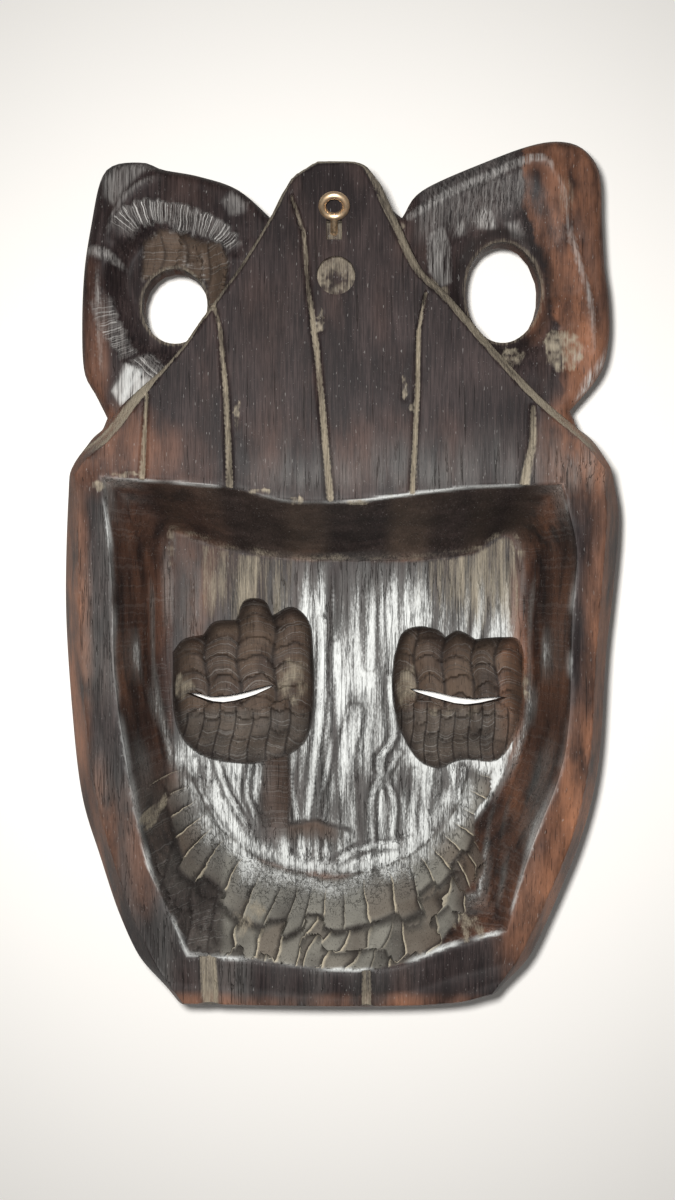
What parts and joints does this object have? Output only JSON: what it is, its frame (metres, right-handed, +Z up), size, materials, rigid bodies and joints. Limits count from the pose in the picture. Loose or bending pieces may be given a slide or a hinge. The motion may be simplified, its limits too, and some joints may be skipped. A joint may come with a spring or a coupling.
{
  "type": "carved wooden face mask",
  "caption": "Carved dark hardwood face mask lying face down, hollow inside, with eye slits, pierced ears, a flat cap and a hanging screw eye.",
  "frame": {"origin": "middle of the underside's bounding box, on the surface that the face lies on", "axes": "+Z up out of the hollow back, +Y towards the cap, +X to the right as the hollow side is seen from above"},
  "size_m": [0.2382, 0.3714, 0.1013],
  "materials": {
    "dark_wood": "dark stained hardwood, waxed and worn",
    "brass": "dull brass plate"
  },
  "bodies": {
    "root": {"mask": "dark_wood", "screw_eye": "brass"}
  },
  "joints": []
}
